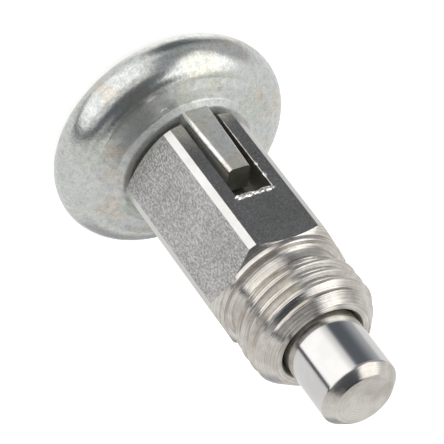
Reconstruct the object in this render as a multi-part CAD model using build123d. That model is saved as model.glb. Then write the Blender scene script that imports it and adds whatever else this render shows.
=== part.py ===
from build123d import *
import os
from math import ceil, cos, radians, sin, tan

# Compact indexing plunger with a pull-and-turn knob.
#
# A hexagon guide body screws into a plate by the fine thread at its nose. A locking pin slides in it and
# is pushed out by a spring. The pin's thin shank runs back through the body into a cast knob, whose two
# lugs run in slots of the body. Once the knob is pulled far enough, the lugs are clear of the slots.
#
# Frame: the origin is the centre of the knob's flat top, on which the plunger stands. +Z runs along the
# pin towards its free end. +X is square to the two slotted flats. Sizes are in millimetres and degrees.

# ---- guide body ----
HEX_ACROSS_FLATS = 10.0
HEX_CORNER_DIAMETER = 11.2  # the bar's corners are turned down to this
HEX_LENGTH = 13.6
HEX_CHAMFER_ANGLE = 30.0    # of the cones at both ends, from the end faces
HEX_END_FACE_STEP = 0.85    # radial, from the turned corners in to the face at the knob end
COLLAR_STEP = 0.6           # radial, from the turned corners in to the collar
COLLAR_LENGTH = 0.45
THREAD_DIAMETER = 9.85      # over the crests of the M10 x 1 thread
THREAD_PITCH = 1.0
THREAD_FLANK_ANGLE = 30.0   # of each flank, from square to the axis
THREAD_START = -20.0        # angle about Z, from +X, where the groove starts over the relief
THREAD_LENGTH = 3.9         # from the relief to the nose, lead chamfer included
RELIEF_STEP = 0.035         # radial, below the thread's root
RELIEF_LENGTH = 1.7         # with its slope up to the crests
NOSE_CHAMFER_DEPTH = 1.025  # radial
NOSE_CHAMFER_LENGTH = 1.3

# ---- lug slots ----
SLOT_WIDTH = 3.0
SLOT_RUN_OUT = 2.15         # length of slot beyond the lug's tip at rest
SLOT_WALL = 0.5             # between a slot's floor and the spring bore, and before the pin bore's end

# ---- locking pin and its bores ----
PIN_DIAMETER = 6.0
PIN_PROTRUSION = 5.65
PIN_TIP_CHAMFER = 0.7
PIN_CLEARANCE = 0.03        # radial running clearance in the body
PIN_MOUTH_GAP = 0.3         # radial gap round the pin where its bore opens out to the nose
PIN_MOUTH_DEPTH = 0.6        # length of the taper that opens it
PULL_TRAVEL = 6.6
PIN_SHOULDER_GAP = 0.1      # left between the pin and its bore's end when fully pulled
SHANK_DIAMETER = 3.0
SHANK_CLEARANCE = 0.04      # radial running clearance in the body
SHANK_END_CHAMFER = 0.3
PRESS_DEPTH = 4.2           # length of shank pressed into the knob
PRESS_HOLE_END_GAP = 0.1

# ---- spring ----
SPRING_BORE_DIAMETER = 4.8
SPRING_BORE_DEPTH = 5.1     # beyond the end of the pin bore
SPRING_BORE_GAP = 0.12      # radial gap between the coils and their bore
SPRING_SEAT_GAP = 0.02      # at each ground end
SPRING_WIRE = 0.5
SPRING_TURNS = 8

# ---- knob ----
KNOB_DIAMETER = 18.7
RIM_RADIUS = 2.1            # round section of the rim, which is twice this thick
UNDERSIDE_SLOPE = 8         # degrees, where the rim's round section runs out into the underside
LIP_FOOT_STEP = 0.2         # where the underside turns up into the lip, outside the rim section's centre
LIP_HEIGHT = 0.88           # crown of the low lip round the socket, above the rim's thickness
LIP_BEVEL_DROP = 0.42       # from the crown down to the terrace that surrounds it
TERRACE_DROP = 0.23         # from the terrace's inner edge down to its outer edge
CROWN_SHARE = 0.273         # parts of the way from the socket's wall to the lip's foot
TERRACE_INNER_SHARE = 0.418
TERRACE_OUTER_SHARE = 0.745
LIP_FOOT_ROUND = 0.4
TERRACE_OUTER_ROUND = 0.6
TERRACE_INNER_ROUND = 0.3
CROWN_ROUND = 0.3
SOCKET_EDGE_ROUND = 0.15
SOCKET_DIAMETER = 9.4
SOCKET_DEPTH = 0.58
SOCKET_CORNER_FILLET = 0.2
HUB_DIAMETER = 5.4          # hub inside the socket, which meets the end of the body
HUB_ROUND = 0.15
BODY_OFF_LIP = 0.38         # between the lip's crown and the body's end at rest
STOP_GAP = 0.05             # between the hub's face and the body's end at rest

# ---- lugs ----
LUG_ROOT_WIDTH = 2.35
LUG_TIP_WIDTH = 1.8
LUG_PROUD = 0.45            # outer face of each lug beyond the hexagon's flat
LUG_FLOOR_GAP = 0.4         # between a lug's inner face and its slot's floor
LUG_ENGAGEMENT = 6.3        # length of each lug inside its slot at rest
LUG_EDGE_ROUND = 0.2

# ---- radii that follow ----
HEX_CORNER = HEX_CORNER_DIAMETER / 2
HEX_END_FACE = HEX_CORNER - HEX_END_FACE_STEP
COLLAR = HEX_CORNER - COLLAR_STEP
THREAD = THREAD_DIAMETER / 2
THREAD_CREST_FLAT = THREAD_PITCH / 8
THREAD_ROOT_FLAT = THREAD_PITCH / 4
THREAD_SLOPE = tan(radians(THREAD_FLANK_ANGLE))
THREAD_DEPTH = (THREAD_PITCH - THREAD_CREST_FLAT - THREAD_ROOT_FLAT) / 2 / THREAD_SLOPE
RELIEF_DEPTH = THREAD_DEPTH + RELIEF_STEP
RELIEF = THREAD - RELIEF_DEPTH
NOSE_FACE = THREAD - NOSE_CHAMFER_DEPTH
PIN = PIN_DIAMETER / 2
PIN_BORE = PIN + PIN_CLEARANCE
PIN_MOUTH = PIN + PIN_MOUTH_GAP
SHANK = SHANK_DIAMETER / 2
SHANK_BORE = SHANK + SHANK_CLEARANCE
SPRING_BORE = SPRING_BORE_DIAMETER / 2
SLOT_FLOOR = SPRING_BORE + SLOT_WALL
LUG_INNER = SLOT_FLOOR + LUG_FLOOR_GAP
LUG_OUTER = HEX_ACROSS_FLATS / 2 + LUG_PROUD
RIM_CENTRE = KNOB_DIAMETER / 2 - RIM_RADIUS
LIP_FOOT = RIM_CENTRE + LIP_FOOT_STEP
SOCKET = SOCKET_DIAMETER / 2
LIP_WIDTH = LIP_FOOT - SOCKET
LIP_CROWN = SOCKET + CROWN_SHARE * LIP_WIDTH
TERRACE_INNER = SOCKET + TERRACE_INNER_SHARE * LIP_WIDTH
TERRACE_OUTER = SOCKET + TERRACE_OUTER_SHARE * LIP_WIDTH

# ---- stations along Z, from the knob's top to the pin's tip ----
Z_RIM_UNDERSIDE = 2 * RIM_RADIUS
SLOPE = radians(UNDERSIDE_SLOPE)
Z_LIP_FOOT = RIM_RADIUS + RIM_RADIUS / cos(SLOPE) - LIP_FOOT_STEP * tan(SLOPE)
Z_LIP = Z_RIM_UNDERSIDE + LIP_HEIGHT
Z_TERRACE_INNER = Z_LIP - LIP_BEVEL_DROP
Z_TERRACE_OUTER = Z_TERRACE_INNER - TERRACE_DROP
Z_SOCKET_FLOOR = Z_LIP - SOCKET_DEPTH
Z_BODY_END = Z_LIP + BODY_OFF_LIP
Z_HUB_FACE = Z_BODY_END - STOP_GAP
Z_SHANK_END = Z_HUB_FACE - PRESS_DEPTH
Z_LUG_TIP = Z_BODY_END + LUG_ENGAGEMENT
Z_SLOT_END = Z_LUG_TIP + SLOT_RUN_OUT
Z_PIN_BORE_END = Z_SLOT_END + SLOT_WALL
Z_SPRING_SEAT = Z_PIN_BORE_END - SPRING_BORE_DEPTH
Z_PIN_SHOULDER = Z_PIN_BORE_END + PULL_TRAVEL + PIN_SHOULDER_GAP
Z_HEX_END = Z_BODY_END + HEX_LENGTH
Z_COLLAR_END = Z_HEX_END + COLLAR_LENGTH
Z_RELIEF_END = Z_COLLAR_END + RELIEF_LENGTH
Z_NOSE = Z_RELIEF_END + THREAD_LENGTH
Z_PIN_TIP = Z_NOSE + PIN_PROTRUSION


def turned(outline):
    """Solid of revolution about Z from closed (radius, height) edges."""
    return revolve(Plane.XZ * make_face(outline), axis=Axis.Z)


def turned_polygon(*points):
    """Solid of revolution about Z from (radius, height) corners."""
    return turned(Polyline(*points, close=True))


def hexagon():
    """Hexagon bar with turned corners and a chamfer cone at each end, flats square to X."""
    bar = extrude(RegularPolygon(HEX_ACROSS_FLATS / 2, 6, major_radius=False, rotation=30), HEX_LENGTH)
    slope = tan(radians(HEX_CHAMFER_ANGLE))
    envelope = turned_polygon(
        (0, Z_BODY_END),
        (HEX_END_FACE, Z_BODY_END),
        (HEX_CORNER, Z_BODY_END + HEX_END_FACE_STEP * slope),
        (HEX_CORNER, Z_HEX_END - COLLAR_STEP * slope),
        (COLLAR, Z_HEX_END),
        (0, Z_HEX_END),
    )
    return Pos(0, 0, Z_BODY_END) * bar & envelope


def thread_groove():
    """Cutters of the right-handed thread groove, one for each turn from over the relief to past the nose."""
    over = THREAD_CREST_FLAT / 2  # how far a cutter reaches out beyond the crests
    root = THREAD - THREAD_DEPTH
    root_half = THREAD_ROOT_FLAT / 2
    mouth_half = root_half + (THREAD_DEPTH + over) * THREAD_SLOPE
    section = Polyline(
        (root, -root_half),
        (THREAD + over, -mouth_half),
        (THREAD + over, mouth_half),
        (root, root_half),
        close=True,
    )
    turn = sweep(Plane.XZ * make_face(section), path=Helix(THREAD_PITCH, THREAD_PITCH, root), is_frenet=True)
    start = Z_RELIEF_END - RELIEF_DEPTH - THREAD_PITCH / 2
    turns = ceil((Z_NOSE + THREAD_PITCH / 2 - start) / THREAD_PITCH)
    return [Pos(0, 0, start + i * THREAD_PITCH) * Rot(0, 0, THREAD_START) * turn for i in range(turns)]


def threaded_nose():
    """Collar, thread relief and the threaded nose with its lead chamfer."""
    blank = turned_polygon(
        (0, Z_HEX_END),
        (COLLAR, Z_HEX_END),
        (COLLAR, Z_COLLAR_END),
        (RELIEF, Z_COLLAR_END),
        (RELIEF, Z_RELIEF_END - RELIEF_DEPTH),
        (THREAD, Z_RELIEF_END),
        (THREAD, Z_NOSE - NOSE_CHAMFER_LENGTH),
        (NOSE_FACE, Z_NOSE),
        (0, Z_NOSE),
    )
    return blank - thread_groove()


def body_bore():
    """Pin bore with its tapered mouth, spring bore and shank hole, as one cutter."""
    return turned_polygon(
        (0, Z_BODY_END),
        (SHANK_BORE, Z_BODY_END),
        (SHANK_BORE, Z_SPRING_SEAT),
        (SPRING_BORE, Z_SPRING_SEAT),
        (SPRING_BORE, Z_PIN_BORE_END),
        (PIN_BORE, Z_PIN_BORE_END),
        (PIN_BORE, Z_NOSE - PIN_MOUTH_DEPTH),
        (PIN_MOUTH, Z_NOSE),
        (0, Z_NOSE),
    )


def slots():
    """Cutters of the two lug slots, in the flats that face +X and -X."""
    reach = HEX_CORNER - SLOT_FLOOR
    length = Z_SLOT_END - Z_BODY_END
    cutter = Box(reach, SLOT_WIDTH, length, align=(Align.MIN, Align.CENTER, Align.MAX))
    one = Pos(SLOT_FLOOR, 0, Z_SLOT_END) * cutter
    return [one, Rot(0, 0, 180) * one]


def guide_body():
    """One piece of hexagon bar, turned, bored from the nose and slotted from the knob end."""
    return hexagon() + threaded_nose() - body_bore() - slots()


def locking_pin():
    """Polished pin with a chamfered tip and a thin shank."""
    return turned_polygon(
        (0, Z_SHANK_END),
        (SHANK - SHANK_END_CHAMFER, Z_SHANK_END),
        (SHANK, Z_SHANK_END + SHANK_END_CHAMFER),
        (SHANK, Z_PIN_SHOULDER),
        (PIN, Z_PIN_SHOULDER),
        (PIN, Z_PIN_TIP - PIN_TIP_CHAMFER),
        (PIN - PIN_TIP_CHAMFER, Z_PIN_TIP),
        (0, Z_PIN_TIP),
    )


def return_spring():
    """Round-wire compression spring with ground ends, between its seat and the pin's shoulder."""
    low = Z_SPRING_SEAT + SPRING_SEAT_GAP
    length = Z_PIN_SHOULDER - SPRING_SEAT_GAP - low
    coil = SPRING_BORE - SPRING_BORE_GAP - SPRING_WIRE / 2
    path = Pos(0, 0, low) * Helix(length / SPRING_TURNS, length, coil)
    wire = sweep(Plane(path @ 0, z_dir=path % 0) * Circle(SPRING_WIRE / 2), path=path, is_frenet=True)
    between_seats = Cylinder(SPRING_BORE, length, align=(Align.CENTER, Align.CENTER, Align.MIN))
    return wire & Pos(0, 0, low) * between_seats


def knob_blank():
    """Turned form of the knob: round rim, low lip, socket and hub with the shank's blind hole."""
    rim_end = (RIM_CENTRE + RIM_RADIUS * sin(SLOPE), RIM_RADIUS + RIM_RADIUS * cos(SLOPE))
    hub = HUB_DIAMETER / 2
    hole_end = Z_SHANK_END - PRESS_HOLE_END_GAP
    top = Polyline((SHANK, hole_end), (0, hole_end), (0, 0), (RIM_CENTRE, 0))
    rim = ThreePointArc((RIM_CENTRE, 0), (KNOB_DIAMETER / 2, RIM_RADIUS), rim_end)
    underside = FilletPolyline(
        rim_end,
        (LIP_FOOT, Z_LIP_FOOT),
        (TERRACE_OUTER, Z_TERRACE_OUTER),
        (TERRACE_INNER, Z_TERRACE_INNER),
        (LIP_CROWN, Z_LIP),
        (SOCKET, Z_LIP),
        (SOCKET, Z_SOCKET_FLOOR),
        (hub, Z_SOCKET_FLOOR),
        (hub, Z_HUB_FACE),
        (SHANK, Z_HUB_FACE),
        radius=[
            LIP_FOOT_ROUND,
            TERRACE_OUTER_ROUND,
            TERRACE_INNER_ROUND,
            CROWN_ROUND,
            SOCKET_EDGE_ROUND,
            SOCKET_CORNER_FILLET,
            SOCKET_CORNER_FILLET,
            HUB_ROUND,
        ],
    )
    wall = Line((SHANK, Z_HUB_FACE), (SHANK, hole_end))
    return turned([top, rim, underside, wall])


def lug():
    """Tapered lug on the +X side, which stands on the socket's floor and on the lip."""
    root = LUG_ROOT_WIDTH / 2
    tip = LUG_TIP_WIDTH / 2
    corners = [(-root, Z_SOCKET_FLOOR), (root, Z_SOCKET_FLOOR), (tip, Z_LUG_TIP), (-tip, Z_LUG_TIP)]
    sides = Polyline(*corners, close=True)
    blade = Pos(LUG_INNER, 0, 0) * extrude(Plane.YZ * make_face(sides), LUG_OUTER - LUG_INNER)
    outer_edges = blade.faces().sort_by(Axis.X)[-1].edges().sort_by(Axis.Z)[1:]
    return fillet(outer_edges, LUG_EDGE_ROUND)


def knob():
    """One zinc die casting: the disc with its low lip and hub, and two lugs."""
    one = lug()
    return knob_blank() + one + Rot(0, 0, 180) * one


PIECES = {
    "guide_body": guide_body,
    "locking_pin": locking_pin,
    "return_spring": return_spring,
    "knob": knob,
}

os.makedirs("parts", exist_ok=True)
for name, make in PIECES.items():
    export_step(make(), os.path.join("parts", name + ".step"))
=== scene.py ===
"""Compact indexing plunger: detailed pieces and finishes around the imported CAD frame."""
import logging
import math
from dataclasses import dataclass
from enum import Enum, IntEnum
from typing import Any, Iterable, Sequence

import bmesh
import bpy
from bmesh.types import BMEdge, BMesh, BMFace
from bpy.types import Material, Node, NodeSocket, NodeTree, Object, World
from mathutils import Matrix, Vector, noise


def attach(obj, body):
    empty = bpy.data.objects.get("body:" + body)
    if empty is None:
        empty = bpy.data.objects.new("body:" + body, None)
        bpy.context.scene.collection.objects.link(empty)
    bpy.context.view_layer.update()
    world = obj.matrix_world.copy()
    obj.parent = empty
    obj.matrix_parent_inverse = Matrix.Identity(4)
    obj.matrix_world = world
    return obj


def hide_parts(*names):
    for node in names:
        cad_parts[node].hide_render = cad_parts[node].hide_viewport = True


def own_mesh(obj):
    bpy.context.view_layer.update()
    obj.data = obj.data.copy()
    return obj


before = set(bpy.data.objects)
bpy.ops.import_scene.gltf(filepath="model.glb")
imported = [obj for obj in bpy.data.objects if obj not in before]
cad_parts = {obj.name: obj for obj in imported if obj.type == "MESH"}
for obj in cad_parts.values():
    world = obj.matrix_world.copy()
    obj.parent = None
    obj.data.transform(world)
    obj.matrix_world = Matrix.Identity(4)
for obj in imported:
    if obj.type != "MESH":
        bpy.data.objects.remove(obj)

MM = 0.001
LOG = logging.getLogger("indexing_plunger")
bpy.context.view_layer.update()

HOUSING = "housing"
PLUNGER = "plunger"


class Side(IntEnum):
    """The two slotted sides of the body; the back one is the front one turned half round."""

    FRONT = 1
    BACK = -1


# ---------------------------------------------------------------- helpers


def linear(hex_colour: str) -> tuple[float, float, float, float]:
    """Turns an sRGB hex colour into linear RGBA.

    Args:
        hex_colour: colour as #RRGGBB.

    Returns:
        Linear red, green, blue and an alpha of one.
    """
    channels = [int(hex_colour[i:i + 2], 16) / 255 for i in (1, 3, 5)]
    red, green, blue = [c / 12.92 if c <= 0.04045 else ((c + 0.055) / 1.055) ** 2.4 for c in channels]
    return red, green, blue, 1.0


def add_node(
    tree: NodeTree, kind: str, settings: dict[Any, Any] | None = None,
    links: dict[Any, Node | NodeSocket] | None = None,
) -> Node:
    """Adds one node with its settings and links.

    The inputs of a Mix node are 0 for its factor, 2 and 3 for its numbers, and 6 and 7 for its colours.

    Args:
        tree: node tree that gets the node.
        kind: Blender's name for the type of node.
        settings: attributes by name, or inputs by name or number, and their values.
        links: inputs by name or number, and what feeds each; a node feeds from its first output.

    Returns:
        The new node.
    """
    made = tree.nodes.new(kind)
    for key, value in (settings or {}).items():
        if isinstance(key, str) and hasattr(made, key):
            setattr(made, key, value)
        else:
            made.inputs[key].default_value = value
    for key, source in (links or {}).items():
        feed = source.outputs[0] if isinstance(source, Node) else source
        tree.links.new(feed, made.inputs[key])
    return made


@dataclass(frozen=True)
class Corner:
    """A corner of a turned profile, in millimetres."""

    radius: float
    height: float
    round: float = 0.0


def round_off(bm: BMesh, geom: Sequence[Any], offset: float, segments: int, affect: str = "EDGES") -> None:
    """Rounds the edges of a solid or the corners of a profile.

    Args:
        bm: mesh that holds them.
        geom: edges or verts to round.
        offset: how far each round reaches along its neighbours, in millimetres.
        segments: steps in each round.
        affect: EDGES or VERTICES.
    """
    bmesh.ops.bevel(
        bm, geom=geom, offset=offset * MM, offset_type="OFFSET", segments=segments, profile=0.5,
        affect=affect, clamp_overlap=affect == "EDGES", material=-1,
    )


def plane_off(bm: BMesh, point: Sequence[float], normal: Sequence[float]) -> None:
    """Takes off all that lies past a plane and closes the cut.

    Args:
        bm: solid to cut.
        point: a point of the plane, in metres.
        normal: direction of the side that is taken off.
    """
    cut = bmesh.ops.bisect_plane(
        bm, geom=bm.verts[:] + bm.edges[:] + bm.faces[:], dist=1e-8, plane_co=point, plane_no=normal,
        clear_outer=True,
    )
    rim = [g for g in cut["geom_cut"] if isinstance(g, BMEdge)]
    bmesh.ops.edgenet_fill(bm, edges=rim)


def turn_to(bm: BMesh, side: Side) -> None:
    """Turns a mesh that was made for the front side half round Z if it is for the back."""
    if side is Side.BACK:
        bmesh.ops.rotate(bm, cent=(0, 0, 0), matrix=Matrix.Rotation(math.pi, 3, "Z"), verts=bm.verts[:])


def draw_profile(bm: BMesh, corners: Sequence[Corner], segments: int) -> None:
    """Draws a chain of edges in the XZ plane and rounds its corners.

    Args:
        bm: mesh that gets the chain.
        corners: corners of the chain in order.
        segments: edges in each rounded corner.
    """
    verts = [bm.verts.new((c.radius * MM, 0, c.height * MM)) for c in corners]
    for pair in zip(verts, verts[1:]):
        bm.edges.new(pair)
    for i, corner in enumerate(corners):
        if corner.round <= 0:
            continue
        to_last = Vector((corners[i - 1].radius - corner.radius, corners[i - 1].height - corner.height))
        to_next = Vector((corners[i + 1].radius - corner.radius, corners[i + 1].height - corner.height))
        turn = math.pi - to_last.angle(to_next)
        round_off(bm, [verts[i]], corner.round * math.tan(turn / 2), segments, "VERTICES")


def spin_all(bm: BMesh, steps: int, rise: float = 0.0) -> None:
    """Spins everything in the mesh once round Z.

    Args:
        bm: mesh that holds only the profile.
        steps: steps in the spin.
        rise: millimetres that the profile climbs in the spin.
    """
    bmesh.ops.spin(
        bm, geom=bm.verts[:] + bm.edges[:], cent=(0, 0, 0), axis=(0, 0, 1), dvec=(0, 0, rise * MM / steps),
        angle=math.tau, steps=steps, use_merge=rise == 0,
    )


def merge_and_face_out(bm: BMesh, distance: float = 0.0005) -> None:
    """Merges doubles nearer than a distance in millimetres and turns all faces outwards."""
    bmesh.ops.remove_doubles(bm, verts=bm.verts[:], dist=distance * MM)
    bmesh.ops.recalc_face_normals(bm, faces=bm.faces[:])


def add_mesh(bm: BMesh, other: BMesh) -> None:
    """Adds the contents of one mesh to another.

    Args:
        bm: mesh that gets them.
        other: mesh that is added; it is freed.
    """
    scratch = bpy.data.meshes.new("scratch")
    other.to_mesh(scratch)
    other.free()
    bm.from_mesh(scratch)
    bpy.data.meshes.remove(scratch)


def lathe(corners: Sequence[Corner], steps: int, segments: int) -> BMesh:
    """Makes a turned shape.

    Args:
        corners: profile of the shape.
        steps: steps round the axis.
        segments: edges in each rounded corner.

    Returns:
        A mesh with merged seam and poles.
    """
    bm = bmesh.new()
    draw_profile(bm, corners, segments)
    bmesh.ops.remove_doubles(bm, verts=bm.verts[:], dist=0.0005 * MM)
    spin_all(bm, steps)
    merge_and_face_out(bm)
    return bm


def boolean(bm: BMesh, tools: Iterable[BMesh], operation: str) -> BMesh:
    """Cuts or joins solids exactly.

    Args:
        bm: solid that is changed; it is freed.
        tools: solids that are taken away or joined on; they are freed.
        operation: DIFFERENCE or UNION.

    Returns:
        The resulting solid.
    """
    made = []
    for i, part in enumerate([bm, *tools]):
        mesh = bpy.data.meshes.new(f"scratch_{i}")
        part.to_mesh(mesh)
        part.free()
        holder = bpy.data.objects.new(f"scratch_{i}", mesh)
        bpy.context.scene.collection.objects.link(holder)
        made.append(holder)
    for tool in made[1:]:
        modifier = made[0].modifiers.new("cut", "BOOLEAN")
        modifier.object = tool
        modifier.operation = operation
        modifier.solver = "EXACT"
    result = bmesh.new()
    result.from_object(made[0], bpy.context.evaluated_depsgraph_get())
    for holder in made:
        mesh = holder.data
        bpy.data.objects.remove(holder)
        bpy.data.meshes.remove(mesh)
    return result


def block(low: Sequence[float], high: Sequence[float]) -> BMesh:
    """Makes a rectangular block.

    Args:
        low: lowest corner in millimetres.
        high: highest corner in millimetres.

    Returns:
        The block's mesh.
    """
    bm = bmesh.new()
    bmesh.ops.create_cube(bm, size=1)
    size = [(h - l) * MM for l, h in zip(low, high)]
    middle = [(h + l) / 2 * MM for l, h in zip(low, high)]
    bmesh.ops.scale(bm, vec=size, verts=bm.verts[:])
    bmesh.ops.translate(bm, vec=middle, verts=bm.verts[:])
    return bm


def shade(bm: BMesh, sharp_degrees: float = 20.0, flat_area: float = 1.0) -> None:
    """Sets smooth shading, with sharp edges past an angle and large plane faces left flat.

    Args:
        bm: mesh to shade.
        sharp_degrees: edges that turn more than this stay sharp.
        flat_area: faces larger than this many square millimetres are shaded flat.
    """
    limit = math.radians(sharp_degrees)
    for face in bm.faces:
        face.smooth = face.calc_area() < flat_area * MM * MM
    for edge in bm.edges:
        edge.smooth = edge.calc_face_angle(0.0) < limit


def to_piece(bm: BMesh, name: str, materials: Sequence[Material]) -> Object:
    """Turns a finished bmesh into an object at the origin.

    Args:
        bm: finished mesh; it is freed.
        name: name of the piece.
        materials: materials in slot order.

    Returns:
        The new object, linked to the scene.
    """
    mesh = bpy.data.meshes.new(name)
    bm.to_mesh(mesh)
    bm.free()
    for material in materials:
        mesh.materials.append(material)
    piece = bpy.data.objects.new(name, mesh)
    bpy.context.scene.collection.objects.link(piece)
    return piece


def place(piece: Object, body: str, node: str) -> None:
    """Sets a piece on its body in place of its CAD node, and reports it.

    Args:
        piece: the finished piece.
        body: CAD body that it moves with.
        node: CAD node that it stands for.
    """
    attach(piece, body)
    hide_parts(node)
    LOG.info("%s: %d faces, rides on %s", piece.name, len(piece.data.polygons), body)


def empty_tree(owner: Material | World) -> NodeTree:
    """Turns on the nodes of a material or world and clears them.

    Args:
        owner: the material or world.

    Returns:
        Its empty node tree.
    """
    owner.use_nodes = True
    owner.node_tree.nodes.clear()
    return owner.node_tree


# ---------------------------------------------------------------- finishes


class Cut(Enum):
    """How a metal surface was made, which sets the lay of its fine texture."""

    DRAWN = "drawn"
    TURNED = "turned"
    MILLED = "milled"


@dataclass(frozen=True)
class Steel:
    """Bright free-cutting steel. The eye gets a warm silver, and a fine lay that depends on the cut.

    Real feed marks and grain are a few hundredths of a millimetre apart, too fine to show, so grain_mm is
    about twice as coarse. The tint lies in clouds and, by the share of speckle, in the grain's hollows.
    """

    name: str
    cut: Cut
    colour: str
    tint: str
    roughness: float
    grain_mm: float
    roughness_spread: float = 0.08
    depth_mm: float = 0.003
    cloud_mm: float = 2.5
    speckle: float = 0.0

    def height(self, tree: NodeTree, coords: NodeSocket) -> Node:
        """Makes the height pattern that the cut leaves.

        Args:
            tree: the material's node tree.
            coords: object coordinates in metres.

        Returns:
            Node whose first output is the height, from nought to one.
        """
        scale = 1 / (self.grain_mm * MM)
        if self.cut is Cut.TURNED:
            parts = add_node(tree, "ShaderNodeSeparateXYZ", links={0: coords})
            flat = add_node(
                tree, "ShaderNodeVectorMath", {"operation": "MULTIPLY", 1: (1, 1, 0)}, {0: coords}
            )
            radius = add_node(tree, "ShaderNodeVectorMath", {"operation": "LENGTH"}, {0: flat})
            along = add_node(
                tree, "ShaderNodeMath", {"operation": "MULTIPLY_ADD", 1: -0.8},
                {0: radius.outputs["Value"], 2: parts.outputs[2]},
            )
            rings = add_node(
                tree, "ShaderNodeTexNoise",
                {"noise_dimensions": "1D", "Scale": scale, "Detail": 2.0, "Roughness": 0.6}, {"W": along},
            )
            return rings
        # Drawing stretches the grain along the bar; a cutter's marks run on much further.
        stretch = (1.0, 1.0, 0.55) if self.cut is Cut.DRAWN else (1.0, 1.0, 0.12)
        laid = add_node(
            tree, "ShaderNodeMapping", {"vector_type": "POINT", "Scale": stretch}, {"Vector": coords}
        )
        grain = add_node(
            tree, "ShaderNodeTexNoise", {"Scale": scale, "Detail": 3.0, "Roughness": 0.65}, {"Vector": laid}
        )
        return grain

    def build(self) -> Material:
        """Builds the material.

        Returns:
            The finished material.
        """
        material = bpy.data.materials.new(self.name)
        tree = empty_tree(material)
        coords = add_node(tree, "ShaderNodeTexCoord").outputs["Object"]
        height = self.height(tree, coords)
        bump = add_node(
            tree, "ShaderNodeBump", {"Strength": 1.0, "Distance": self.depth_mm * MM}, {"Height": height}
        )
        cloud = add_node(
            tree, "ShaderNodeTexNoise", {"Scale": 1 / (self.cloud_mm * MM), "Detail": 4.0, "Roughness": 0.6},
            {"Vector": coords},
        )
        broad = add_node(tree, "ShaderNodeMapRange", {"From Min": 0.4, "From Max": 0.62}, {"Value": cloud})
        fine = add_node(tree, "ShaderNodeMapRange", {"From Min": 0.62, "From Max": 0.38}, {"Value": height})
        share = add_node(tree, "ShaderNodeMix", {"data_type": "FLOAT", 0: self.speckle}, {2: broad, 3: fine})
        colour = add_node(
            tree, "ShaderNodeMix", {"data_type": "RGBA", 6: linear(self.colour), 7: linear(self.tint)},
            {0: share},
        )
        rough = add_node(
            tree,
            "ShaderNodeMapRange",
            {
                "To Min": self.roughness - self.roughness_spread,
                "To Max": self.roughness + self.roughness_spread,
            },
            {"Value": cloud},
        )
        shader = add_node(
            tree, "ShaderNodeBsdfPrincipled", {"Metallic": 1.0},
            {"Base Color": colour.outputs[2], "Roughness": rough, "Normal": bump},
        )
        add_node(tree, "ShaderNodeOutputMaterial", links={"Surface": shader})
        return material


class Layer(Enum):
    """Noise layers of the casting's skin, each with its own patches."""

    WARM_CLOUD = "warm cloud"
    GREEN_CLOUD = "green cloud"
    MOTTLE = "mottle"
    SPECK = "speck"


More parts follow.
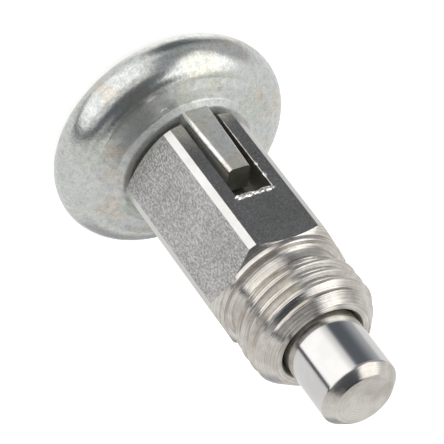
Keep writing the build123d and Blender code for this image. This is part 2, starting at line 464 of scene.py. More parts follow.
@dataclass(frozen=True)
class CastZinc:
    """Zinc die casting. The eye gets a mottled blue-grey with paler, warmer and greener clouds.

    The real skin's specks are under a tenth of a millimetre, so mottle and specks are drawn coarser.
    """

    name: str
    roughness: float
    depth_mm: float
    metallic: float
    cool: str = "#D0D2D0"
    pale: str = "#E4E4DF"
    warm: str = "#D4CABC"
    green: str = "#C7CDC1"
    dark: str = "#A0A6A6"
    cloud_mm: float = 2.2
    mottle_mm: float = 0.5
    speck_mm: float = 0.16
    roughness_spread: float = 0.08
    recess_roughness: float = 0.0
    recess_from_mm: float = 7.7
    recess_full_mm: float = 7.2

    def layers(self, tree: NodeTree, coords: NodeSocket) -> dict[Layer, Node]:
        """Makes the noise layers.

        Args:
            tree: the material's node tree.
            coords: object coordinates in metres.

        Returns:
            The layers' nodes.
        """
        kinds = {
            Layer.WARM_CLOUD: (self.cloud_mm, 3.0, 1.0),
            Layer.GREEN_CLOUD: (self.cloud_mm, 3.0, 5.0),
            Layer.MOTTLE: (self.mottle_mm, 4.0, 0.0),
            Layer.SPECK: (self.speck_mm, 2.0, 0.0),
        }
        made = {}
        for layer, (size_mm, detail, seed) in kinds.items():
            settings = {"noise_dimensions": "4D", "W": seed, "Scale": 1 / (size_mm * MM), "Detail": detail}
            made[layer] = add_node(tree, "ShaderNodeTexNoise", settings, {"Vector": coords})
        return made

    def colour(self, tree: NodeTree, layers: dict[Layer, Node]) -> NodeSocket:
        """Lays the clouds, the mottle and the specks over the cool ground colour.

        Args:
            tree: the material's node tree.
            layers: the noise layers.

        Returns:
            Socket with the colour.
        """
        ground = add_node(tree, "ShaderNodeRGB")
        ground.outputs[0].default_value = linear(self.cool)
        coats = (
            (self.warm, Layer.WARM_CLOUD, 0.5, 0.62, 0.8),
            (self.green, Layer.GREEN_CLOUD, 0.52, 0.62, 0.7),
            (self.pale, Layer.MOTTLE, 0.52, 0.72, 0.6),
            (self.dark, Layer.MOTTLE, 0.5, 0.3, 0.45),
            (self.pale, Layer.SPECK, 0.5, 0.7, 0.35),
            (self.dark, Layer.SPECK, 0.5, 0.32, 0.4),
        )
        for coat, layer, none_at, full_at, most in coats:
            share = add_node(
                tree, "ShaderNodeMapRange", {"From Min": none_at, "From Max": full_at, "To Max": most},
                {"Value": layers[layer]},
            )
            ground = add_node(
                tree, "ShaderNodeMix", {"data_type": "RGBA", 7: linear(coat)}, {0: share, 6: ground}
            ).outputs[2]
        return ground

    def build(self) -> Material:
        """Builds the material.

        Returns:
            The finished material.
        """
        material = bpy.data.materials.new(self.name)
        tree = empty_tree(material)
        coords = add_node(tree, "ShaderNodeTexCoord").outputs["Object"]
        layers = self.layers(tree, coords)
        colour = self.colour(tree, layers)
        patchy = add_node(
            tree,
            "ShaderNodeMapRange",
            {
                "From Min": 0.2,
                "From Max": 0.8,
                "To Min": self.roughness + self.roughness_spread,
                "To Max": self.roughness - self.roughness_spread,
            },
            {"Value": layers[Layer.MOTTLE]},
        )
        # Tumbling doesn't reach the recess inside the rim, so that stays rougher.
        level = add_node(tree, "ShaderNodeVectorMath", {"operation": "MULTIPLY", 1: (1, 1, 0)}, {0: coords})
        radius = add_node(tree, "ShaderNodeVectorMath", {"operation": "LENGTH"}, {0: level})
        recess = add_node(
            tree,
            "ShaderNodeMapRange",
            {
                "From Min": self.recess_from_mm * MM,
                "From Max": self.recess_full_mm * MM,
                "To Max": self.recess_roughness,
            },
            {"Value": radius.outputs["Value"]},
        )
        rough = add_node(tree, "ShaderNodeMath", {"operation": "ADD"}, {0: patchy, 1: recess})
        height = add_node(
            tree, "ShaderNodeMath", {"operation": "MULTIPLY_ADD", 1: 2.0},
            {0: layers[Layer.MOTTLE], 2: layers[Layer.SPECK]},
        )
        bump = add_node(
            tree, "ShaderNodeBump", {"Strength": 1.0, "Distance": self.depth_mm * MM}, {"Height": height}
        )
        shader = add_node(
            tree, "ShaderNodeBsdfPrincipled", {"Metallic": self.metallic},
            {"Base Color": colour, "Roughness": rough, "Normal": bump},
        )
        add_node(tree, "ShaderNodeOutputMaterial", links={"Surface": shader})
        return material


# ---------------------------------------------------------------- guide body


class BodyFace(IntEnum):
    """Material slots of the guide body, by the cut that made the face; the burrs' steel is painted paler, a
    painted highlight.
    """

    TURNED = 0
    DRAWN = 1
    MILLED = 2
    BURR = 3
    CORNER = 4
    GROUND = 5


@dataclass
class GuideBody:
    """Hexagon body with a threaded nose, bored from the nose and slotted from the knob end."""

    flats: float = 10.0
    corner: float = 5.6
    end_face: float = 4.75
    cone_degrees: float = 30.0
    collar: float = 4.998
    collar_round: float = 0.16
    relief: float = 4.349
    relief_round: float = 0.42
    thread: float = 4.925
    nose_face: float = 3.9
    pin_mouth: float = 3.3
    pin_mouth_depth: float = 0.6
    pin_mouth_round: float = 0.2
    pin_bore: float = 3.03
    spring_bore: float = 2.4
    shank_bore: float = 1.54
    slot_floor: float = 2.9
    slot_width: float = 3.0
    edge_break: float = 0.05
    burr_radius: float = 0.2
    burr_length: float = 3.3
    burr_past_slot: float = 0.15
    bead_radius: float = 0.06
    bead_short: float = 1.2
    z_end: float = 5.46
    z_spring_seat: float = 9.31
    z_slot: float = 13.91
    z_pin_bore: float = 14.41
    z_hex: float = 19.06
    z_collar: float = 19.51
    z_relief: float = 21.21
    z_nose: float = 25.11
    nose_chamfer: float = 1.3
    pitch: float = 1.0
    first_crest: float = 0.69
    crest_half: float = 0.055
    crest_round: float = 0.06
    root: float = 4.384
    root_reach: float = 0.375
    root_round: float = 0.12
    steps: int = 160
    finishes: tuple[Steel, ...] = (
        # Turned bar: rings round the axis, which pull each light into streaks across them.
        Steel(
            "steel_turned", Cut.TURNED, colour="#E2DFDA", tint="#B9B2A8", roughness=0.17, grain_mm=0.08,
            roughness_spread=0.04, depth_mm=0.016, cloud_mm=1.6, speckle=0.5,
        ),
        # Drawn hexagon bar: an orange-peel grain, which the eye takes as a sparkling grey.
        Steel(
            "steel_drawn", Cut.DRAWN, colour="#CBCAC8", tint="#918F8D", roughness=0.24, grain_mm=0.13,
            roughness_spread=0.04, depth_mm=0.06, speckle=0.8,
        ),
        # Slots cut by an end mill: matt and darker, with marks along the cut.
        Steel("steel_milled", Cut.MILLED, colour="#BDBAB2", tint="#9C998F", roughness=0.44, grain_mm=0.1),
        # Metal rolled up at a slot's edge: smooth lumps that glint, in steel painted paler than the rest, a
        # painted highlight.
        Steel("steel_burr_painted_highlight", Cut.DRAWN, colour="#F2EFEA", tint="#DDD8CF", roughness=0.16, grain_mm=0.2),
        # Corners turned down from the bar: smooth, so that each is one bright strip.
        Steel(
            "steel_corner", Cut.TURNED, colour="#D8D7D4", tint="#CFCECA", roughness=0.16, grain_mm=0.1,
            roughness_spread=0.03, depth_mm=0.004,
        ),
        # Slotted flats, ground: finer than the drawn ones, so that they stay one calm dark tone.
        Steel(
            "steel_ground", Cut.DRAWN, colour="#DCD7CF", tint="#B4AFA7", roughness=0.21, grain_mm=0.11,
            roughness_spread=0.04, depth_mm=0.022, speckle=0.6,
        ),
    )

    @property
    def z_thread_start(self) -> float:
        """Height where the relief's cylinder ends and the thread's own surface begins."""
        return self.z_relief - (self.thread - self.relief) - 0.15

    def envelope(self, height: float) -> float:
        """Gives the radius of the turned blank in the threaded part.

        Args:
            height: where, in millimetres.

        Returns:
            The radius there, in millimetres.
        """
        slope = self.relief + max(0.0, height - (self.z_relief - (self.thread - self.relief)))
        lead = (self.z_nose - height) / self.nose_chamfer
        cone = self.nose_face + max(0.0, lead) * (self.thread - self.nose_face)
        return min(self.thread, slope, cone)

    def blank(self) -> BMesh:
        """Turns the whole blank but for the outside of the thread.

        Returns:
            The blank, open where the thread's own surface goes.
        """
        cone = math.tan(math.radians(self.cone_degrees))
        corners = [
            Corner(self.relief, self.z_thread_start),
            Corner(self.relief, self.z_collar, self.relief_round),
            Corner(self.collar, self.z_collar, self.collar_round),
            Corner(self.collar, self.z_hex),
            Corner(self.corner, self.z_hex - (self.corner - self.collar) * cone),
            Corner(self.corner, self.z_end + (self.corner - self.end_face) * cone),
            Corner(self.end_face, self.z_end),
            Corner(self.shank_bore, self.z_end),
            Corner(self.shank_bore, self.z_spring_seat),
            Corner(self.spring_bore, self.z_spring_seat),
            Corner(self.spring_bore, self.z_pin_bore),
            Corner(self.pin_bore, self.z_pin_bore),
            Corner(self.pin_bore, self.z_nose - self.pin_mouth_depth),
            Corner(self.pin_mouth, self.z_nose, self.pin_mouth_round),
            Corner(self.nose_face, self.z_nose),
        ]
        return lathe(corners, self.steps, 4)

    def cut_flats(self, bm: BMesh) -> None:
        """Planes off the six flats.

        Args:
            bm: the turned blank.
        """
        for i in range(6):
            normal = Vector((math.cos(math.radians(60 * i)), math.sin(math.radians(60 * i)), 0))
            plane_off(bm, normal * self.flats / 2 * MM, normal)

    def thread_surface(self) -> BMesh:
        """Winds the right-handed thread from its profile and trims it to the turned blank.

        Returns:
            The thread's surface, whose two rims meet the blank.
        """
        bm = bmesh.new()
        low, high = self.z_thread_start, self.z_nose
        first = math.floor(low - 2 * self.pitch) + self.first_crest
        corners = []
        for i in range(math.ceil(high - low) + 4):
            crest = first + i * self.pitch
            corners += [
                Corner(self.root, crest - self.root_reach, self.root_round),
                Corner(self.thread, crest - self.crest_half, self.crest_round),
                Corner(self.thread, crest + self.crest_half, self.crest_round),
                Corner(self.root, crest + self.root_reach, self.root_round),
            ]
        corners[0] = Corner(corners[0].radius, corners[0].height)
        corners[-1] = Corner(corners[-1].radius, corners[-1].height)
        draw_profile(bm, corners, 3)
        flanks = [e for e in bm.edges if e.calc_length() > 0.15 * MM]
        bmesh.ops.subdivide_edges(bm, edges=flanks, cuts=6)
        spin_all(bm, self.steps, self.pitch)
        for vert in bm.verts:
            height = min(max(vert.co.z / MM, low), high)
            radius = min(vert.co.xy.length / MM, self.envelope(height))
            vert.co.xy *= radius * MM / vert.co.xy.length
            vert.co.z = height * MM
        merge_and_face_out(bm)
        return bm

    def burr(self, side: Side) -> BMesh:
        """Makes the ragged burr that the cutter raised at the end of a slot.

        Args:
            side: the slot's side.

        Returns:
            A closed, half-sunk bead along the slot's end.
        """
        bm = bmesh.new()
        radius = self.burr_radius * MM
        bmesh.ops.create_cone(
            bm, cap_ends=True, segments=14, radius1=radius, radius2=radius, depth=self.burr_length * MM
        )
        long = [e for e in bm.edges if abs(e.verts[0].co.z - e.verts[1].co.z) > MM]
        bmesh.ops.subdivide_edges(bm, edges=long, cuts=34)
        for vert in bm.verts:
            along = vert.co.z / MM
            lump = 0.8 + 0.4 * noise.noise(Vector((along * 1.6, side * 3.1, 0.4)))
            lump += 0.35 * math.exp(-(((abs(along) - 1.45) / 0.16) ** 2))
            fine = 1 + 0.4 * noise.noise(Vector((along * 6.0, vert.co.x / MM * 7, vert.co.y / MM * 7 + side)))
            end = max(0.15, 1 - (abs(along) / 1.72) ** 8)
            vert.co.xy *= lump * fine * end
            vert.co.x *= 0.75
            vert.co.y += 0.05 * MM * noise.noise(Vector((along * 1.1, 7.7, side)))
        turn = Matrix.Rotation(math.radians(-90), 4, "X")
        bmesh.ops.transform(bm, matrix=turn, verts=bm.verts[:])
        move = Vector((self.flats / 2 * MM, 0, (self.z_slot + self.burr_past_slot) * MM))
        bmesh.ops.translate(bm, vec=move, verts=bm.verts[:])
        turn_to(bm, side)
        bmesh.ops.recalc_face_normals(bm, faces=bm.faces[:])
        return bm

    def edge_bead(self, side: Side) -> BMesh:
        """Makes the thin bead with specks that the cutter turned up along one long edge of a slot.

        Args:
            side: the slot's side.

        Returns:
            A closed, half-sunk bead along the slot's edge.
        """
        bm = bmesh.new()
        radius = self.bead_radius * MM
        length = self.z_slot - self.z_end - self.bead_short
        bmesh.ops.create_cone(
            bm, cap_ends=True, segments=10, radius1=radius, radius2=radius, depth=length * MM
        )
        bmesh.ops.subdivide_edges(bm, edges=[e for e in bm.edges if e.calc_length() > MM], cuts=90)
        for vert in bm.verts:
            along = vert.co.z / MM
            speck = max(0.0, noise.noise(Vector((along * 1.3, 4.4, side))) - 0.32)
            vert.co.xy *= 0.75 + 0.5 * noise.noise(Vector((along * 4.0, 1.7, side))) + 6.0 * speck
        move = Vector((self.flats / 2, -self.slot_width / 2 - 0.02, self.z_slot - length / 2)) * MM
        bmesh.ops.translate(bm, vec=move, verts=bm.verts[:])
        turn_to(bm, side)
        bmesh.ops.recalc_face_normals(bm, faces=bm.faces[:])
        return bm

    def soften_edges(self, bm: BMesh) -> None:
        """Breaks the sharp outer edges of the hexagon and its slots.

        Args:
            bm: the body, cut to shape.
        """
        limit = math.radians(18)
        sharp = [
            e
            for e in bm.edges
            if e.is_manifold
            and e.is_convex
            and e.calc_face_angle(0.0) > limit
            and max(v.co.z for v in e.verts) < (self.z_hex + 0.02) * MM
            and min(v.co.xy.length for v in e.verts) > (self.slot_floor - 0.02) * MM
        ]
        round_off(bm, sharp, self.edge_break, 2)

    def dress(self, bm: BMesh) -> None:
        """Gives each face the finish of the cut that made it.

        Args:
            bm: the body without its burrs.
        """
        across = [Vector((math.cos(a), math.sin(a))) for a in (0, math.pi / 3, math.tau / 3)]
        for face in bm.faces:
            centre = face.calc_center_median()
            level = abs(face.normal.z) < 0.02
            in_slot = (
                abs(centre.y) < (self.slot_width / 2 + 0.01) * MM
                and abs(centre.x) < (self.flats / 2 - 0.02) * MM
                and abs(centre.x) > (self.slot_floor - 0.02) * MM
                and centre.z < (self.z_slot + 0.01) * MM
            )
            in_mouth = (
                centre.z > (self.z_nose - self.pin_mouth_depth) * MM
                and centre.xy.length < self.pin_mouth * MM
                and abs(face.normal.z) < 0.7
            )
            if in_slot or in_mouth:
                face.material_index = BodyFace.MILLED
            elif level and max(abs(centre.xy.dot(way)) for way in across) > (self.flats / 2 - 0.01) * MM:
                slotted = abs(face.normal.x) > 0.9
                face.material_index = BodyFace.GROUND if slotted else BodyFace.DRAWN
            elif level and centre.xy.length > (self.corner - 0.02) * MM:
                face.material_index = BodyFace.CORNER
            else:
                face.material_index = BodyFace.TURNED

    def build(self) -> Object:
        """Builds the piece.

        Returns:
            The finished guide body.
        """
        bm = self.blank()
        self.cut_flats(bm)
        add_mesh(bm, self.thread_surface())
        merge_and_face_out(bm)
        reach, half = self.corner + 1, self.slot_width / 2
        cutters = [
            block((self.slot_floor, -half, self.z_end - 1), (reach, half, self.z_slot)),
            block((-reach, -half, self.z_end - 1), (-self.slot_floor, half, self.z_slot)),
        ]
        bm = boolean(bm, cutters, "DIFFERENCE")
        merge_and_face_out(bm)
        self.soften_edges(bm)
        merge_and_face_out(bm)
        self.dress(bm)
        for side in Side:
            whole = set(bm.faces)
            add_mesh(bm, self.burr(side))
            add_mesh(bm, self.edge_bead(side))
            # Burrs and edge beads take the paler steel: painted highlight.
            for face in set(bm.faces) - whole:
                face.material_index = BodyFace.BURR
        shade(bm)
        piece = to_piece(bm, "guide_body_detail", [f.build() for f in self.finishes])
        place(piece, HOUSING, "guide_body")
        return piece


# ---------------------------------------------------------------- locking pin


@dataclass
class LockingPin:
    """Polished pin with a chamfered tip and a thin shank."""

    pin: float = 3.0
    shank: float = 1.5
    shank_chamfer: float = 0.3
    shoulder_round: float = 0.1
    tip_chamfer: float = 0.7
    tip_round: float = 0.25
    z_shank: float = 1.21
    z_shoulder: float = 21.11
    z_tip: float = 30.76
    steps: int = 160
    # Hardened pin, polished in the lathe: nearly a mirror, with soft edges to what it reflects.
    finish: Steel = Steel(
        "steel_polished", Cut.TURNED, colour="#DDDCDA", tint="#D5D3D0", roughness=0.13, grain_mm=0.07,
        roughness_spread=0.03, depth_mm=0.0015, speckle=0.3,
    )
    # Chamfer and end face, faced and left so: rings that show as fans of light.
    tip_finish: Steel = Steel(
        "steel_faced", Cut.TURNED, colour="#DEDAD4", tint="#B5AFA6", roughness=0.17, grain_mm=0.07,
        roughness_spread=0.05, depth_mm=0.007, speckle=0.35,
    )

    def build(self) -> Object:
        """Builds the piece.

        Returns:
            The finished pin.
        """
        corners = [
            Corner(0, self.z_shank),
            Corner(self.shank - self.shank_chamfer, self.z_shank),
            Corner(self.shank, self.z_shank + self.shank_chamfer),
            Corner(self.shank, self.z_shoulder),
            Corner(self.pin, self.z_shoulder, self.shoulder_round),
            Corner(self.pin, self.z_tip - self.tip_chamfer, self.tip_round),
            Corner(self.pin - self.tip_chamfer, self.z_tip, self.tip_round),
            Corner(0, self.z_tip),
        ]
        bm = lathe(corners, self.steps, 6)
        for face in bm.faces:
            tip = face.calc_center_median().z > (self.z_tip - self.tip_chamfer - 0.05) * MM
            face.material_index = 1 if tip else 0
        shade(bm)
        piece = to_piece(bm, "locking_pin_detail", [self.finish.build(), self.tip_finish.build()])
        place(piece, PLUNGER, "locking_pin")
        return piece


# ---------------------------------------------------------------- return spring


@dataclass
class ReturnSpring:
    """Compression spring with closed and ground ends."""

    low: float = 9.31
    high: float = 21.09
    coil: float = 2.03
    wire: float = 0.5
    active_turns: int = 6
    steps: int = 40
    travel: float = 6.6
    # Drawn spring wire: plain bright grey with hardly any lay.
    finish: Steel = Steel(
        "spring_wire", Cut.DRAWN, colour="#BFC0C0", tint="#A9A9A8", roughness=0.28, grain_mm=0.1,
        depth_mm=0.001,
    )

    def wind(self, bm: BMesh, ring: list[Any], turns: int, pitch: float) -> list[Any]:
        """Winds more turns onto the wire.

        Args:
            bm: mesh that holds the wire.
            ring: verts and edges of the wire's end.
            turns: turns to wind.
            pitch: climb of a turn in millimetres.

        Returns:
            Verts and edges of the new end.
        """
        steps = self.steps * turns
        wound = bmesh.ops.spin(
            bm, geom=ring, cent=(0, 0, 0), axis=(0, 0, 1), dvec=(0, 0, pitch * turns * MM / steps),
            angle=math.tau * turns, steps=steps, use_merge=False,
        )
        return [g for g in wound["geom_last"] if not isinstance(g, BMFace)]

    def build(self) -> Object:
        """Builds the piece.

        Returns:
            The finished spring.
        """
        bm = bmesh.new()
        made = bmesh.ops.create_circle(bm, cap_ends=False, segments=14, radius=self.wire / 2 * MM)
        bmesh.ops.rotate(bm, cent=(0, 0, 0), matrix=Matrix.Rotation(math.pi / 2, 3, "X"), verts=made["verts"])
        tip = self.wire / 4
        start = Vector((self.coil * MM, 0, (self.low + tip) * MM))
        bmesh.ops.translate(bm, vec=start, verts=made["verts"])
        ring: list[Any] = bm.verts[:] + bm.edges[:]
        pitch = (self.high - self.low - 2 * tip - 2 * self.wire) / self.active_turns
        ring = self.wind(bm, ring, 1, self.wire)
        ring = self.wind(bm, ring, self.active_turns, pitch)
        self.wind(bm, ring, 1, self.wire)
        bmesh.ops.holes_fill(bm, edges=[e for e in bm.edges if e.is_boundary], sides=0)
        for height, normal in ((self.low, (0, 0, -1)), (self.high, (0, 0, 1))):
            plane_off(bm, (0, 0, height * MM), normal)
        merge_and_face_out(bm)
        shade(bm, 40)
        piece = to_piece(bm, "return_spring_detail", [self.finish.build()])
        place(piece, HOUSING, "return_spring")
        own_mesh(piece)
        return piece


# ---------------------------------------------------------------- knob


class KnobFace(IntEnum):
    """Material slots of the knob, by how tumbling left the face, with painted highlight on the lug edges and
    painted shade on the lug tips.
    """

    TUMBLED = 0
    AS_CAST = 1
    PAINTED_HIGHLIGHT = 2
    PAINTED_SHADE = 3


@dataclass
class Knob:
    """Mushroom knob cast in one with its lip, hub and two lugs."""

    radius: float = 9.35
    rim: float = 2.1
    z_rim_edge: float = 3.9255
    lip_foot: float = 7.45
    z_lip_foot: float = 4.19
    lip_foot_round: float = 0.4
    terrace_outer: float = 6.75
    z_terrace_outer: float = 4.43
    terrace_outer_round: float = 0.6
    terrace_inner: float = 5.85
    z_terrace_inner: float = 4.66
    lip_crown: float = 5.45
    z_lip: float = 5.08
    crown_round: float = 0.3
    socket: float = 4.7
    z_socket: float = 4.5
    socket_round: float = 0.2
    edge_round: float = 0.15
    hub: float = 2.7
    z_hub: float = 5.41
    hole: float = 1.5
    z_hole: float = 1.11
    dent: float = 0.03
    fine_dent: float = 0.01
    dent_from: float = 7.0
    dent_full: float = 8.0
    lug_inner: float = 3.3
    lug_outer: float = 5.45
    lug_root: float = 2.35
    lug_tip: float = 1.8
    lug_round: float = 0.36
    z_lug: float = 11.76
    mark_place: tuple[float, float] = (5.52, 2.34)
    mark_radius: float = 0.4
    mark_depth: float = 0.3
    mark_proud: float = 0.02
    steps: int = 192
    finishes: tuple[CastZinc, ...] = (
        # Tumbled casting: a worn shine on the rim that breaks up into blue-grey patches.
        CastZinc("cast_zinc_tumbled", roughness=0.21, depth_mm=0.005, metallic=0.93, recess_roughness=0.17),
        # Casting skin that the tumbling didn't reach: matt grey.
        CastZinc("cast_zinc_as_cast", roughness=0.5, depth_mm=0.014, metallic=0.75),
        # Rounded lug edges: painted highlight, zinc painted near white so that it shows as a white line.
        CastZinc(
            "cast_zinc_painted_highlight", roughness=0.2, depth_mm=0.003, metallic=1.0, cool="#F0F0EC",
            green="#ECEDE8",
        ),
        # Lug tip faces, down in the slot's shade: painted shade, a dark grey-green.
        CastZinc(
            "cast_zinc_painted_shade", roughness=0.45, depth_mm=0.012, metallic=0.9, cool="#8C9087",
            pale="#A8AB9D", warm="#96927F", green="#888F7B", dark="#6C7067",
        ),
    )

    def blank(self) -> BMesh:
        """Turns the round form of the casting.

        Returns:
            The form, without lugs.
        """
        corners = [
            Corner(0, 0),
            Corner(self.radius, 0, self.rim),
            Corner(self.radius, self.z_rim_edge, self.rim),
            Corner(self.lip_foot, self.z_lip_foot, self.lip_foot_round),
            Corner(self.terrace_outer, self.z_terrace_outer, self.terrace_outer_round),
            Corner(self.terrace_inner, self.z_terrace_inner, self.crown_round),
            Corner(self.lip_crown, self.z_lip, self.crown_round),
            Corner(self.socket, self.z_lip, self.edge_round),
            Corner(self.socket, self.z_socket, self.socket_round),
            Corner(self.hub, self.z_socket, self.socket_round),
            Corner(self.hub, self.z_hub, self.edge_round),
            Corner(self.hole, self.z_hub),
            Corner(self.hole, self.z_hole),
            Corner(0, self.z_hole),
        ]
        return lathe(corners, self.steps, 9)

    def ripple(self, bm: BMesh) -> None:
        """Sinks the rim a little here and there, as tumbling leaves it.

        Args:
            bm: the turned form.
        """
        for vert in bm.verts:
            radius = vert.co.xy.length / MM
            share = min(max((radius - self.dent_from) / (self.dent_full - self.dent_from), 0.0), 1.0)
            broad = 0.5 + 0.5 * noise.noise(vert.co / MM * 0.42)
            fine = 0.5 + 0.5 * noise.noise(vert.co / MM * 1.1 + Vector((9, 2, 5)))
            vert.co.xy *= 1 - share * (self.dent * broad + self.fine_dent * fine) / max(radius, 1.0)

    def lug(self, side: Side) -> BMesh:
        """Makes one tapered lug.

        Args:
            side: the lug's side.

        Returns:
            The lug's mesh, rooted in the socket.
        """
        half = self.lug_root / 2
        bm = block((self.lug_inner, -half, self.z_socket - 0.1), (self.lug_outer, half, self.z_lug))
        narrow = self.lug_tip / self.lug_root
        tip = [v for v in bm.verts if v.co.z > 6 * MM]
        bmesh.ops.scale(bm, vec=(1, narrow, 1), verts=tip)
        outer = [e for e in bm.edges if min(v.co.x for v in e.verts) > 5 * MM and e.calc_length() > 3 * MM]
        round_off(bm, outer, self.lug_round, 5)
        turn_to(bm, side)
        return bm

    def ejector_mark(self) -> BMesh:
        """Makes the small level pad that an ejector pin left on the terrace.

        Returns:
            The pad's mesh, mostly sunk.
        """
        bm = bmesh.new()
        radius, depth = self.mark_radius, self.mark_depth
        bmesh.ops.create_cone(
            bm, cap_ends=True, segments=32, radius1=radius * MM, radius2=radius * 0.9 * MM, depth=depth * MM
        )
        move = Vector((*self.mark_place, self.z_terrace_inner + self.mark_proud - depth / 2)) * MM
        bmesh.ops.translate(bm, vec=move, verts=bm.verts[:])
        return bm

    def dress(self, bm: BMesh) -> None:
        """Gives each face its finish.

        Args:
            bm: the whole knob.
        """
        mark = Vector(self.mark_place) * MM
        for face in bm.faces:
            centre = face.calc_center_median()
            marked = (centre.xy - mark).length < self.mark_radius * MM and centre.z > 4 * MM
            recessed = centre.xy.length < (self.terrace_inner - 0.1) * MM and centre.z > MM
            # Lug tip faces get the painted shade.
            if centre.z > (self.z_lug - 0.02) * MM:
                face.material_index = KnobFace.PAINTED_SHADE
            # The lugs' rounded edges get the painted highlight.
            elif centre.z > (self.z_hub + 0.4) * MM and 0.12 < abs(face.normal.x) < 0.985:
                face.material_index = KnobFace.PAINTED_HIGHLIGHT
            else:
                face.material_index = KnobFace.AS_CAST if marked or recessed else KnobFace.TUMBLED

    def build(self) -> Object:
        """Builds the piece.

        Returns:
            The finished knob.
        """
        bm = self.blank()
        self.ripple(bm)
        bm = boolean(bm, [*(self.lug(side) for side in Side), self.ejector_mark()], "UNION")
        merge_and_face_out(bm)
        self.dress(bm)
        shade(bm, 30)
        piece = to_piece(bm, "knob_detail", [f.build() for f in self.finishes])
        place(piece, PLUNGER, "knob")
        return piece


# ---------------------------------------------------------------- studio


@dataclass(frozen=True)
class Card:
    """A soft box or a dark flag of the studio, seen only in reflections, with its edges in degrees.

    A level of one is white. Later cards cover earlier ones. The lean moves the lower edge up by that share
    of the way from the card's middle.
    """

    name: str
    level: float
    azimuth: tuple[float, float]
    elevation: tuple[float, float]
    azimuth_soft: tuple[float, float] = (5.0, 5.0)
    elevation_soft: tuple[float, float] = (5.0, 5.0)
    lean: float = 0.0


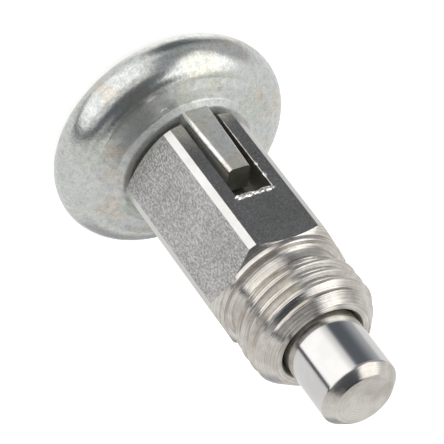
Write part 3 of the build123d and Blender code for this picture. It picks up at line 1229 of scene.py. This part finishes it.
@dataclass
class Studio:
    """White studio: a pale floor, an even light, and cards that the metal reflects."""

    tent: float = 0.87
    even_light: float = 0.8
    deep_tint: str = "#D2DFF3"
    deep_until: float = 0.7
    floor_half: float = 0.4
    floor_drop: float = 0.00001
    paper: str = "#EEEEEC"
    paper_lift: float = 0.55
    lamp_power: float = 0.35
    lamp_size: float = 0.25
    lamp_distance: float = 0.4
    lamp_way: tuple[float, float, float] = (0.32, -0.62, 0.72)
    cards: tuple[Card, ...] = (
        Card("back_box", 0.88, (-182, -138), (-70, 20), (18, 18), (20, 20)),
        Card("back_wall", 0.5, (-185, -147), (-22, 16), (7, 6), (9, 9)),
        Card("zenith_flag", 0.07, (-190, 190), (68, 96)),
        Card("near_flag", 0.12, (-15, 102), (37, 96), (8, 5), (8, 5)),
        Card("right_flag", 0.12, (84, 97), (22, 48), (4, 3), (6, 6)),
        Card("ceiling_flag", 0.5, (84, 142), (57, 69), (8, 8), (5, 3)),
        Card("far_flag", 0.12, (-149.5, -127), (53, 96), (3.5, 7), (6, 5), lean=0.8),
        Card("under_window", 0.53, (-85, -4), (-58, 22), (6, 6), (8, 8)),
        Card("paper_box", 1.35, (-135, -62), (-78, -47), (12, 12), (8, 8)),
        Card("window_box", 1.8, (-120, -17), (30, 69), (6, 7), (6, 5), lean=-0.68),
        Card("side_flag", 0.14, (-58, -6), (-64, -27), (24, 7), (10, 8)),
        Card("window_foot", 0.42, (-30, -8), (-14, 18), (6, 6), (6, 7)),
        Card("gap_flag", 0.38, (-18, 8), (-14, 38)),
        Card("front_box", 1.42, (11, 85), (-57, 14), (12, 4), (12, 7)),
        Card("edge_flag", 0.1, (85.8, 96.2), (-70, 34), (2.5, 3)),
    )

    def share_of(self, tree: NodeTree, card: Card, azimuth: Node, elevation: Node) -> Node:
        """Makes a card's share of the light from each direction.

        Args:
            tree: the world's node tree.
            card: the card.
            azimuth: node that gives the direction's azimuth in radians.
            elevation: node that gives its elevation in radians.

        Returns:
            Node that gives one on the card, nought off it, and a value between on its soft edges.
        """
        middle = sum(card.azimuth) / 2
        half = card.azimuth[1] - middle
        off = add_node(
            tree, "ShaderNodeMath", {"operation": "SUBTRACT", 1: math.radians(middle)}, {0: azimuth}
        )
        off = add_node(tree, "ShaderNodeMath", {"operation": "WRAP", 1: math.pi, 2: -math.pi}, {0: off})
        leant = add_node(
            tree, "ShaderNodeMath", {"operation": "MULTIPLY_ADD", 1: -card.lean}, {0: off, 2: elevation}
        )
        edges = (
            (off, -half, card.azimuth_soft[0], 0.0),
            (off, half, card.azimuth_soft[1], 1.0),
            (leant, card.elevation[0], card.elevation_soft[0], 0.0),
            (elevation, card.elevation[1], card.elevation_soft[1], 1.0),
        )
        steps = []
        for angle, start, soft, before in edges:
            settings = {
                "interpolation_type": "SMOOTHSTEP",
                "From Min": math.radians(start - soft),
                "From Max": math.radians(start + soft),
                "To Min": before,
                "To Max": 1.0 - before,
            }
            steps.append(add_node(tree, "ShaderNodeMapRange", settings, {"Value": angle}))
        share = steps[0]
        for step in steps[1:]:
            share = add_node(tree, "ShaderNodeMath", {"operation": "MULTIPLY"}, {0: share, 1: step})
        return share

    def world(self) -> None:
        """Builds the world: white to the camera, cards to reflections, even light to the rest."""
        world = bpy.data.worlds.new("studio")
        bpy.context.scene.world = world
        tree = empty_tree(world)
        way = add_node(tree, "ShaderNodeTexCoord").outputs["Generated"]
        parts = add_node(tree, "ShaderNodeSeparateXYZ", links={0: way}).outputs
        azimuth = add_node(tree, "ShaderNodeMath", {"operation": "ARCTAN2"}, {0: parts[1], 1: parts[0]})
        elevation = add_node(tree, "ShaderNodeMath", {"operation": "ARCSINE"}, {0: parts[2]})
        seen = add_node(tree, "ShaderNodeValue")
        seen.outputs[0].default_value = self.tent
        for card in self.cards:
            share = self.share_of(tree, card, azimuth, elevation)
            settings = {"data_type": "FLOAT", 3: card.level}
            seen = add_node(tree, "ShaderNodeMix", settings, {0: share, 2: seen})
        path = add_node(tree, "ShaderNodeLightPath").outputs
        lit = add_node(
            tree, "ShaderNodeMix", {"data_type": "FLOAT", 2: self.even_light},
            {0: path["Is Glossy Ray"], 3: seen},
        )
        shown = add_node(
            tree, "ShaderNodeMix", {"data_type": "FLOAT", 3: 1.0}, {0: path["Is Camera Ray"], 2: lit}
        )
        # Dark directions are bluer, as the far parts of a room are, so that dark metal doesn't look brown.
        depth = add_node(tree, "ShaderNodeMapRange", {"From Max": self.deep_until}, {"Value": shown})
        settings = {"data_type": "RGBA", 6: linear(self.deep_tint), 7: (1, 1, 1, 1)}
        colour = add_node(tree, "ShaderNodeMix", settings, {0: depth}).outputs[2]
        back = add_node(tree, "ShaderNodeBackground", links={0: colour, 1: shown})
        add_node(tree, "ShaderNodeOutputWorld", links={"Surface": back})

    def floor(self) -> None:
        """Lays the pale floor, which keeps the shadow and goes with the knob that stands on it."""
        bm = bmesh.new()
        bmesh.ops.create_grid(bm, x_segments=1, y_segments=1, size=self.floor_half)
        bmesh.ops.translate(bm, vec=(0, 0, -self.floor_drop), verts=bm.verts[:])
        # Matt studio paper: the camera sees it a little lifted, so that it runs into the white behind.
        material = bpy.data.materials.new("studio_paper")
        tree = empty_tree(material)
        paper = add_node(tree, "ShaderNodeBsdfDiffuse", {"Color": linear(self.paper)})
        camera = add_node(tree, "ShaderNodeLightPath").outputs["Is Camera Ray"]
        lift = add_node(tree, "ShaderNodeMath", {"operation": "MULTIPLY", 1: self.paper_lift}, {0: camera})
        glow = add_node(tree, "ShaderNodeEmission", {"Color": (1, 1, 1, 1)}, {"Strength": lift})
        both = add_node(tree, "ShaderNodeAddShader", links={0: paper, 1: glow})
        add_node(tree, "ShaderNodeOutputMaterial", links={"Surface": both})
        floor = to_piece(bm, "floor", [material])
        floor.visible_glossy = False
        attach(floor, PLUNGER)

    def lamp(self) -> None:
        """Hangs one large soft lamp on the window's side."""
        light = bpy.data.lights.new("window_lamp", "AREA")
        light.energy = self.lamp_power
        light.size = self.lamp_size
        lamp = bpy.data.objects.new("window_lamp", light)
        bpy.context.scene.collection.objects.link(lamp)
        way = Vector(self.lamp_way).normalized()
        lamp.location = way * self.lamp_distance
        lamp.rotation_euler = way.to_track_quat("Z", "Y").to_euler()
        lamp.visible_glossy = False

    def build(self) -> None:
        """Builds the studio."""
        self.world()
        self.floor()
        self.lamp()
        LOG.info("studio: %d cards", len(self.cards))


@dataclass(frozen=True)
class Viewpoint:
    """Camera with a long lens, rolled so that the pin points down to the right."""

    place_mm: tuple[float, float, float] = (151.823, 93.117, 142.742)
    right: tuple[float, float, float] = (0.113345, -0.869188, 0.481317)
    up: tuple[float, float, float] = (0.717700, -0.263374, -0.644625)
    ahead: tuple[float, float, float] = (-0.687066, -0.418506, -0.593964)
    lens: float = 246.6

    def build(self) -> None:
        """Builds the camera and makes it the scene's own."""
        data = bpy.data.cameras.new("camera")
        data.sensor_width = 36.0
        data.lens = self.lens
        data.clip_start = 0.005
        data.clip_end = 20.0
        camera = bpy.data.objects.new("camera", data)
        bpy.context.scene.collection.objects.link(camera)
        axes = Matrix((self.right, self.up, [-c for c in self.ahead])).transposed()
        camera.matrix_world = Matrix.Translation(Vector(self.place_mm) * MM) @ axes.to_4x4()
        bpy.context.scene.camera = camera


def main() -> None:
    """Builds the plunger, its studio and the camera."""
    logging.basicConfig(level=logging.INFO, format="%(message)s")
    bpy.context.scene.view_settings.view_transform = "Standard"
    Viewpoint().build()
    Studio().build()
    for maker in (GuideBody(), LockingPin(), ReturnSpring(), Knob()):
        piece = maker.build()
        LOG.info("built %s", piece.name)


if __name__ == "__main__":
    main()
